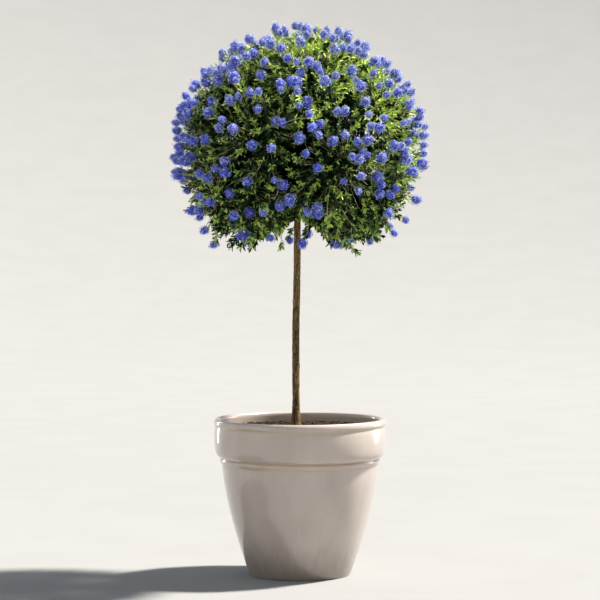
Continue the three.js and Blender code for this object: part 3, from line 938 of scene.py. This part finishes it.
def grow_shoots():
    """Every shoot's curve, direction and whether it ends in blossom."""
    draws = np.random.default_rng(SHOOT_SEED)
    directions = spread_directions(SHOOTS, LOWEST_SHOOT)
    directions = normalized(directions + draws.normal(0, SHOOT_SCATTER, directions.shape))
    own_direction = normalized(twig_tips - HEAD_MIDDLE)
    own_blooming = twig_numbers % BARE_TWIG_EVERY > 0
    blooming = blooming_shoots(directions, own_direction[own_blooming], draws)
    proud = draws.uniform(*BLOOMING_REACH, SHOOTS) + PROUDER_ABOVE * directions[:, 2]
    proud = np.minimum(proud, FURTHEST_REACH)
    reach = np.where(blooming, proud, draws.uniform(*SHOOT_REACH, SHOOTS))
    hanging = lerp(*HANGING_SHOOT_REACH, draws.uniform(0, 1, SHOOTS) ** FEW_HANG_FAR)
    hanging = np.where(directions[:, 2] < HANGING_BELOW, hanging * arch(directions), reach)
    length = np.minimum(hanging * head_reach(directions), reach * HEAD_RADIUS)
    tips = HEAD_MIDDLE + directions * length[:, None]

    # The main twigs' own tips come first, each as a shoot of its own
    own_reach = np.linalg.norm(twig_tips - HEAD_MIDDLE, axis=1)
    furthest = np.where(own_blooming, FURTHEST_REACH, FURTHEST_BARE_REACH)
    own_reach = np.minimum(own_reach, furthest * HEAD_RADIUS)
    directions = np.vstack([own_direction, directions])
    tips = np.vstack([HEAD_MIDDLE + own_direction * own_reach[:, None], tips])
    blooming = np.concatenate([own_blooming, blooming])
    kept = (np.hypot(tips[:, 0], tips[:, 1]) > TRUNK_MARGIN) | (tips[:, 2] > TRUNK_TIP)
    directions, tips, blooming = directions[kept], tips[kept], blooming[kept]

    # Each comes off the nearest main twig of its mass
    apart = np.linalg.norm(tips[:, None] - twig_tips[None], axis=2)
    apart[owner_of(directions)[:, None] != twig_owners[None]] += 2 * HEAD_RADIUS
    parent = np.argmin(apart, axis=1)
    lengths = np.linalg.norm(twig_curves[:, 3] - twig_curves[:, 0], axis=1)[parent]
    back = apart[np.arange(len(tips)), parent] + draws.uniform(*SHOOT_BACK, len(tips))
    back[::LONG_SHOOT_EVERY] += LONG_SHOOT_BACK
    root = np.clip(1 - back / lengths, *SHOOT_ROOTS)
    start = curve_point(twig_curves[parent], root)
    forward = curve_tangent(twig_curves[parent], root)
    length = np.linalg.norm(tips - start, axis=1)[:, None]
    heading = normalized(directions + SHOOT_LIFT * UP + draws.normal(0, SHOOT_WANDER, tips.shape))
    bends = start + forward * SHOOT_ONWARD * length, tips - heading * SHOOT_INWARD * length
    return np.stack([start, *bends, tips], axis=1), directions, blooming


def make_limbs():
    """Trunk and boughs in bark, with how deep in a furrow each corner lies, which the bark material
    darkens as painted shade.
    """
    draws = np.random.default_rng(BARK_SEED)
    look = bark_material()
    share = np.linspace(0, 1, TRUNK_RINGS)
    line = trunk_line(share)
    line[0, 2] -= TRUNK_SUNK
    trunk = bark_tube(draws, line, trunk_radius(share), TRUNK_SIDES, FURROWS_AROUND, FURROW_DEPTH, KNOBS)
    share = np.linspace(0, 1, BOUGH_RINGS)
    radii = lerp(BOUGH_RADIUS, BOUGH_END_RADIUS, share)
    rule = (radii, BOUGH_SIDES, BOUGH_FURROWS_AROUND, BOUGH_FURROW_DEPTH)
    bough_limbs = [bark_tube(draws, curve_point(bough[None], share), *rule) for bough in boughs]
    kinds = [("trunk_bark", [trunk], ["trunk"]), ("boughs_bark", bough_limbs, BOUGHS)]
    for name, limbs, nodes in kinds:
        corners, quads, furrows = zip(*limbs)
        offsets = np.cumsum([0, *map(len, corners)])
        faces = np.vstack([part + offset for part, offset in zip(quads, offsets)])
        piece = make_piece(name, np.vstack(corners), faces, look, "bark", nodes)
        # The bark material darkens each corner by this furrow depth, as painted shade
        depth = piece.data.attributes.new("furrow", "FLOAT", "POINT")
        depth.data.foreach_set("value", np.concatenate(furrows).astype(np.float32))


def make_twigs(shoot_curves):
    """The stems and main twigs as one piece, and the shoots as another."""
    both = {"scale": 45.0, "roughness": 0.6, "Specular_IOR_Level": 0.35}
    woody = mottled_material("woody_twigs", (0.34, 0.28, 0.18), (0.56, 0.49, 0.35), **both)
    green = mottled_material("green_shoots", (0.33, 0.33, 0.14), (0.55, 0.53, 0.28), **both)
    share = np.linspace(0, 1, TWIG_RINGS)
    points = curve_point(np.concatenate([stems, twig_curves])[:, None], share)
    stem_radii = lerp(BOUGH_END_RADIUS, STEM_END_RADIUS, share)
    twig_radii = lerp(TWIG_RADIUS, TWIG_END_RADIUS, share)
    radii = np.array([stem_radii] * MASSES + [twig_radii] * len(twig_curves))
    make_piece("twigs_woody", *tubes(points, radii, TWIG_SIDES), woody, "bark", FOLIAGE)
    share = np.linspace(0, 1, SHOOT_STEPS + 1)
    points = curve_point(shoot_curves[:, None], share)
    radii = np.tile(lerp(SHOOT_RADIUS, SHOOT_END_RADIUS, share), (len(shoot_curves), 1))
    radii[::LONG_SHOOT_EVERY] *= LONG_SHOOT_THICKER
    make_piece("shoots", *tubes(points, radii, SHOOT_SIDES), green, "leaves", FOLIAGE)


# Leaves
def leaf_template():
    """A blade folded along its middle and bent back: points with length 1 and half width 1."""
    outline = [(0.32, 0.86), (0.7, 0.84)]
    spine = [(0, 0), (0.52, 0), (1, 0)]
    flat = spine + outline + [(x, -y) for x, y in outline]
    fold = LEAF_FOLD * LEAF_SLIMNESS / 2
    points = np.array([(x, y, fold * abs(y) - LEAF_DROOP * x * x) for x, y in flat])
    left = [(0, 1, 3), (1, 4, 3), (1, 2, 4)]
    right = [(0, 5, 1), (1, 5, 6), (1, 6, 2)]
    return points, np.array(left + right)


# Each kind of leaf: its two tones, roughness and shine, from leaves painted in full light to leaves
# painted in deep shade
LEAF_LOOKS = [
    ((0.64, 0.79, 0.115), (0.82, 0.93, 0.19), 0.5, 0.12),
    ((0.49, 0.69, 0.12), (0.67, 0.85, 0.19), 0.45, 0.2),
    ((0.29, 0.47, 0.1), (0.45, 0.66, 0.155), 0.42, 0.3),
    ((0.026, 0.066, 0.02), (0.052, 0.115, 0.034), 0.45, 0.28),
    ((0.005, 0.016, 0.004), (0.01, 0.028, 0.007), 0.6, 0.12),
]
DARKEST_LEAF = len(LEAF_LOOKS) - 1


def leaf_directions(forward, turn, lean, draws):
    """Which way leaves point off their shoot, and which way they face."""
    along = normalized(turned(forward, turned(*frames(forward), turn), lean))
    facing = forward + LEAF_TOWARDS_LIGHT * UP + draws.normal(0, LEAF_FACING_SCATTER, forward.shape)
    return along, facing


def outer_leaves(curves, directions, blooming, draws):
    """Leaves along the outer part of every shoot: roots, ways, lengths, widths and shades."""
    count = len(curves)
    number = np.arange(LEAVES_ON_SHOOT)[None]
    length = np.linalg.norm(np.diff(curves, axis=1), axis=2).sum(axis=1)[:, None]
    first = np.where(blooming, draws.uniform(*LEAVES_BELOW_BLOSSOM, count), 0)[:, None]
    spacing = draws.uniform(*LEAF_SPACING, (count, 1))
    unevenness = draws.uniform(-LEAF_UNEVENNESS, LEAF_UNEVENNESS, (count, LEAVES_ON_SHOOT))
    share = np.clip(1 - (first + spacing * (number + unevenness)) / length, 0, 1)
    roots = curve_point(curves[:, None], share)
    forward = curve_tangent(curves[:, None], share)
    turn = number * GOLDEN_ANGLE + draws.uniform(0, math.tau, (count, 1))
    grown = np.minimum(number / YOUNG_LEAVES, 1)
    lean = lerp(*LEAF_LEAN, grown * draws.uniform(*LEAF_LEAN_SHARES, share.shape))
    along, facing = leaf_directions(forward, turn, lean, draws)
    young = np.where(blooming[:, None], 1, lerp(YOUNG_LEAF_SIZE, 1, grown))
    hanging = directions[:, 2:] < HANGING_BELOW
    longer = np.where(hanging, HANGING_LEAF_LONGER, 1 + LOW_LEAF_LONGER * (1 - directions[:, 2:]) / 2)
    size = LEAF_LENGTH * young * longer * draws.uniform(*LEAF_SIZES, share.shape)
    width = size * LEAF_SLIMNESS * np.where(hanging, HANGING_LEAF_BROADER, 1)
    # Painted light and shade: shoots facing the sun get lighter tints; older leaves and random scatter
    # shift them too
    light = (directions @ SUNNY_SIDE)[:, None]
    shade = LEAF_SHADE - LEAF_SHADE_BY_LIGHT * np.maximum(light, SHADIEST)
    shade = shade + draws.normal(0, SHOOT_SHADE_SCATTER, (count, 1)) + LEAF_SHADE_BY_AGE * number
    shade = shade + draws.normal(0, LEAF_SHADE_SCATTER, share.shape)
    old = number >= LEAVES_ON_LONG_SHOOT
    long_shoot = (np.arange(count) % LONG_SHOOT_EVERY == 0)[:, None]
    fallen = draws.uniform(0, 1, share.shape) < LEAF_FALL * (1 - light)
    size = np.where(old & (long_shoot | fallen), 0, size)
    return roots, along, facing, size, width, shade


def inner_leaves(draws):
    """Leaves in the shade, along the boughs, stems and main twigs, in the same terms."""
    curves = np.concatenate([boughs, stems, twig_curves])
    shape = (len(curves), INNER_LEAVES)
    share = draws.uniform(*INNER_LEAF_PLACES, shape)
    share[:MASSES] = lerp(BARE_BOUGH, 1, share[:MASSES])
    roots = curve_point(curves[:, None], share)
    forward = curve_tangent(curves[:, None], share)
    turn = draws.uniform(0, math.tau, shape)
    along, facing = leaf_directions(forward, turn, draws.uniform(*INNER_LEAF_LEAN, shape), draws)
    roots = roots + along * draws.uniform(0, INNER_LEAF_STALK, (*shape, 1))
    size = INNER_LEAF_LENGTH * draws.uniform(*LEAF_SIZES, shape)
    place = roots + along * size[..., None] - HEAD_MIDDLE
    away = np.linalg.norm(place, axis=-1)
    direction = place / away[..., None]
    height = np.maximum(direction[..., 2], 0)
    furthest = INNER_LEAF_REACH + INNER_LEAVES_HIGHER * height
    reach = away / head_reach(direction)
    size = np.where((reach > furthest) | (place[..., 2] < -underside_depth(place[..., 0])), 0, size)
    outermost = np.clip((reach - SMALLER_FROM) / (furthest - SMALLER_FROM), 0, 1)
    size = size * (1 - INNER_LEAVES_SMALLER * outermost)
    width = size * LEAF_SLIMNESS * INNER_LEAF_BROADER
    # Painted shade: the darkest tint, painted lighter towards the top of the head
    shade = DARKEST_LEAF - INNER_LEAVES_LIGHTER * height**2 + draws.normal(0, INNER_SHADE_SCATTER, shape)
    return roots, along, facing, size, width, shade


def make_leaves(curves, directions, blooming):
    draws = np.random.default_rng(LEAF_SEED)
    kinds = [outer_leaves(curves, directions, blooming, draws), inner_leaves(draws)]
    roots, along, facing = (np.vstack([kind[k].reshape(-1, 3) for kind in kinds]) for k in range(3))
    size, width, shade = (np.concatenate([kind[k].ravel() for kind in kinds]) for k in range(3, 6))
    side = normalized(np.cross(facing, along))
    axes = np.stack([along, side, np.cross(along, side)], axis=1)
    sizes = np.stack([size, width / 2, size], axis=-1)
    tint = np.clip(np.round(shade), 0, DARKEST_LEAF)
    template, faces = leaf_template()
    for i, (*tones, roughness, shine) in enumerate(LEAF_LOOKS):
        look = mottled_material(f"leaf_{i + 1}", *tones, 60.0, roughness, Specular_IOR_Level=shine)
        chosen = (tint == i) & (size > 0)
        copies = placed(template, roots[chosen], axes[chosen], sizes[chosen])
        make_copies(f"leaves_{i + 1}", copies, faces, look, "leaves", FOLIAGE)


# Blossom
def floret_template():
    """Cupped petals round a low middle, with a radius of 1."""
    points = [(0, 0, FLORET_MIDDLE)]
    faces = []
    for k, angle in enumerate(circle(PETALS)):
        points += [rings(radius, height, angle + turn) for radius, turn, height in PETAL]
        first = 1 + len(PETAL) * k
        faces += [(0, first, first + 1), (0, first + 1, first + 2)]
    return np.array(points), np.array(faces)


def ball_template():
    """A small round body for the middle of a blossom."""
    bpy.ops.mesh.primitive_ico_sphere_add(subdivisions=2, radius=1)
    ball = bpy.context.object
    points = np.array([v.co for v in ball.data.vertices])
    faces = np.array([p.vertices for p in ball.data.polygons])
    bpy.data.objects.remove(ball)
    return points, faces


# The two tones of each kind of floret, from those painted in the light to those painted in shade, then the
# faded ones
BLOSSOM_COLOURS = [
    ((0.41, 0.49, 0.9), (0.57, 0.64, 0.93)),
    ((0.25, 0.34, 0.98), (0.37, 0.47, 1.0)),
    ((0.12, 0.17, 0.97), (0.2, 0.265, 1.0)),
    ((0.045, 0.068, 0.74), (0.085, 0.12, 0.92)),
    ((0.31, 0.25, 0.5), (0.46, 0.39, 0.63)),
]
FADED = len(BLOSSOM_COLOURS) - 1


def swollen(points, middle, share):
    """Points moved off the middle of their blossom by shares of their distance."""
    return middle[:, None] + (points - middle[:, None]) * share[..., None]


def make_blossom(curves, directions, blooming):
    draws = np.random.default_rng(BLOSSOM_SEED)
    curves, directions = curves[blooming], directions[blooming]
    count = len(curves)
    axis = normalized(curve_tangent(curves, np.ones(count)) + directions * BLOSSOM_OUTWARD)
    length = draws.uniform(*BLOSSOM_LENGTH, count)
    width = length * draws.uniform(*BLOSSOM_WIDTH, count)
    middle = curves[:, 3] - axis * length[:, None] / 2
    first = turned(*frames(axis), draws.uniform(0, math.tau, count))
    body_axes = np.stack([first, np.cross(axis, first), axis], axis=1)
    body_sizes = np.stack([width, width, length], axis=-1) / 2

    # Florets stand on an egg that narrows towards its tip, further out on the tufts than between
    places = spread_directions(FLORETS, LOWEST_FLORET)
    waves = normalized(draws.normal(size=(count, TUFT_WAVES, 3))) * TUFT_FINENESS
    phases = draws.uniform(0, math.tau, (count, 1, TUFT_WAVES))
    tufts = np.cos(np.einsum("vi,nwi->nvw", places, waves) + phases).mean(axis=2)
    tufts = tufts * math.sqrt(2 * TUFT_WAVES)
    narrowing = 1 - BLOSSOM_TAPER * places[:, 2:]
    egg = np.hstack([places[:, :2] * narrowing, places[:, 2:]])
    standing = 1 + TUFT_HEIGHT * (tufts - 1) + draws.normal(0, FLORET_SCATTER, tufts.shape)
    roots = swollen(placed(egg, middle, body_axes, body_sizes), middle, standing)
    outward = np.einsum("nvi,nij->nvj", places[None] / body_sizes[:, None], body_axes)
    outward = normalized(normalized(outward) + draws.normal(0, FLORET_TILT, outward.shape))

    # Painted light and shade: paler towards the sun and on the tufts, darker between them; and a few low
    # ones faded
    light = (directions @ SUNNY_SIDE)[:, None]
    shade = BLOSSOM_SHADE - light + draws.normal(0, BLOSSOM_SHADE_SCATTER, light.shape)
    shade = shade - TUFTS_PALER * tufts - LIT_FLORETS_PALER * (outward @ SUNNY_SIDE)
    shade = shade + draws.normal(0, FLORET_SHADE_SCATTER, tufts.shape)
    tint = np.clip(np.round(shade), 0, FADED - 1)
    faded = np.where(places[:, 2] < LOW_ON_BLOSSOM, *FADED_SHARES)
    tint[draws.uniform(0, 1, tint.shape) < faded] = FADED
    radii = length[:, None] * FLORET_SIZE * draws.uniform(*FLORET_SIZES, tint.shape)
    side = turned(*frames(outward), draws.uniform(0, math.tau, tint.shape))
    floret_axes = np.stack([side, np.cross(outward, side), outward], axis=2)
    template, faces = floret_template()
    for i, tones in enumerate(BLOSSOM_COLOURS):
        look = mottled_material(f"petal_{i + 1}", *tones, 170.0, 0.6, Specular_IOR_Level=0.25)
        chosen = tint == i
        copies = placed(template, roots[chosen], floret_axes[chosen], radii[chosen][:, None])
        make_copies(f"blossom_{i + 1}", copies, faces, look, "blossom", FOLIAGE, smooth=False)

    # A dark lumpy core behind the florets of each blossom: partly buds, its darkness painted shade between
    # the florets
    template, faces = ball_template()
    cores = placed(template, middle, body_axes, body_sizes * BLOSSOM_CORE)
    cores = swollen(cores, middle, 1 + draws.normal(0, CORE_LUMPS, cores.shape[:2]))
    look = mottled_material("petal_core", (0.022, 0.028, 0.23), (0.085, 0.11, 0.56), 320.0, 0.7)
    make_copies("blossom_cores", cores, faces, look, "blossom", FOLIAGE)


# Camera, light and floor
def aim(thing, target):
    thing.rotation_euler = (Vector(target) - thing.location).to_track_quat("-Z", "Y").to_euler()


def make_camera():
    data = bpy.data.cameras.new("camera")
    data.sensor_width = SENSOR
    data.lens = SENSOR * CAMERA_DISTANCE / PICTURE_HEIGHT
    camera = link_object("camera", data)
    camera.location = (0, -CAMERA_DISTANCE, CAMERA_HEIGHT)
    aim(camera, (0, 0, AIM_HEIGHT))
    bpy.context.scene.camera = camera


def add_light(name, kind, place, target, power, colour):
    data = bpy.data.lights.new(name, kind)
    data.energy = power
    data.color = colour
    light = link_object(name, data)
    light.location = place
    light.visible_camera = False
    aim(light, target)
    return data, light


def make_studio():
    key, _ = add_light("key", "SUN", SUN_PLACE, (0, 0, 0), SUN_POWER, SUN_COLOUR)
    key.angle = SUN_SOFTNESS
    for name, place, size, lean, power in WINDOWS:
        window, light = add_light(name, "AREA", place, (0, 0, place[2]), power, WINDOW_COLOUR)
        window.shape = "RECTANGLE"
        window.size, window.size_y = size
        window.spread = WINDOW_SPREAD
        light.rotation_euler.rotate_axis("Z", lean)
    world = bpy.data.worlds.new("studio")
    world.use_nodes = True
    feed_inputs(world.node_tree.nodes["Background"], Color=SKY_COLOUR, Strength=SKY_STRENGTH)
    bpy.context.scene.world = world

    # A level floor that curves up into a wall all round
    turn = np.linspace(0, COVE_TURN, COVE_STEPS)
    radius = np.array([FLOOR_MIDDLE, *(FLOOR_RADIUS + COVE_RADIUS * np.sin(turn))])
    height = np.array([0, *(COVE_RADIUS * (1 - np.cos(turn)))])
    points = rings(radius[:, None], height[:, None], circle(COVE_SIDES)).reshape(-1, 3)
    look = mottled_material("floor", (0.255, 0.254, 0.252), (0.261, 0.26, 0.258), 3.0, 0.9)
    floor = make_mesh("floor", points, grid_faces(len(radius), COVE_SIDES), look)


shoots = grow_shoots()
make_pot()
make_compost()
make_limbs()
make_twigs(shoots[0])
make_leaves(*shoots)
make_blossom(*shoots)
make_camera()
make_studio()
bpy.context.scene.view_settings.view_transform = "Standard"
